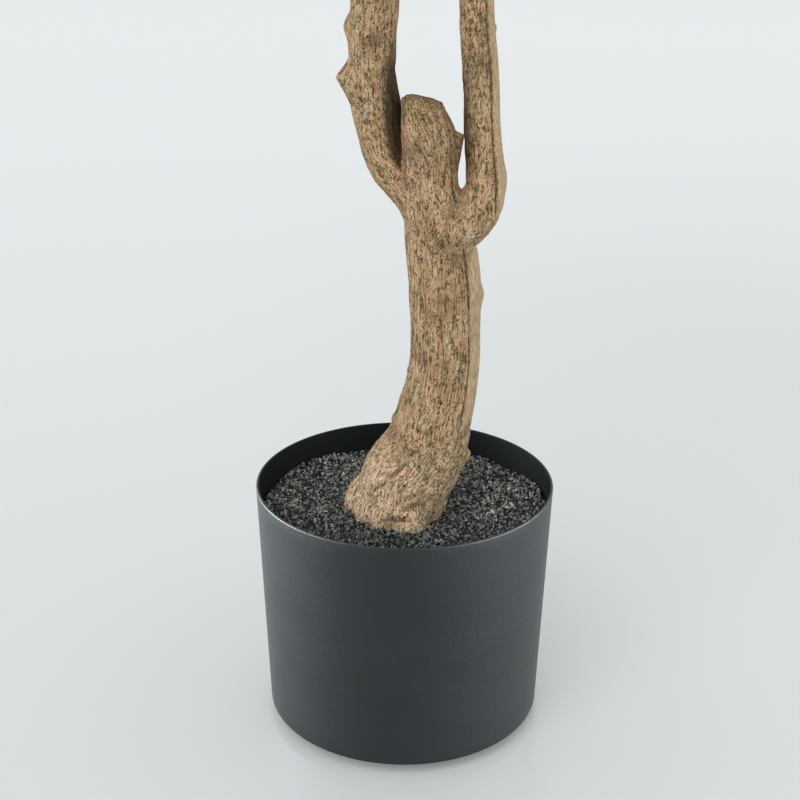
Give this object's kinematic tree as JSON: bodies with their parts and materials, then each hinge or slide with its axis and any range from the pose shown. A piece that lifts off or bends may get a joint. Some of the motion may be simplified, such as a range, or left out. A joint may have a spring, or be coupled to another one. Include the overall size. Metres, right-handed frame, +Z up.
{
  "type": "potted artificial eucalyptus",
  "caption": "Artificial eucalyptus tree in a plain round pot: a forked trunk with a sawn stub, slender boughs and masses of round grey-green leaves.",
  "frame": {"origin": "middle of the pot's flat underside, on the surface that it stands on", "axes": "+Z up along the pot's axis; the front is -Y, where the trunk's foot leans to the left and its fork is seen full face; +X to the right of the front view"},
  "size_m": [0.7301, 0.7003, 1.5013],
  "materials": {
    "pot": "matt dark grey moulded plastic",
    "soil": "black crumbs over a cast filling",
    "bark": "tan bark with fine dark slots",
    "foliage": "matt grey-green leaf cloth"
  },
  "bodies": {
    "root": {"pot": "pot", "soil": "soil", "trunk": "bark", "left_limb": "bark", "right_limb": "bark", "bough_01": "bark", "bough_02": "bark", "bough_03": "bark", "bough_04": "bark", "bough_05": "bark", "bough_06": "bark", "bough_07": "bark", "bough_08": "bark", "bough_09": "bark", "bough_10": "bark", "bough_11": "bark", "bough_12": "bark", "bough_13": "bark", "foliage_01": "foliage", "foliage_02": "foliage", "foliage_03": "foliage", "foliage_04": "foliage", "foliage_05": "foliage", "foliage_06": "foliage", "foliage_07": "foliage", "foliage_08": "foliage", "foliage_09": "foliage", "foliage_10": "foliage", "foliage_11": "foliage", "foliage_12": "foliage", "foliage_13": "foliage", "foliage_14": "foliage", "foliage_15": "foliage"}
  },
  "joints": []
}
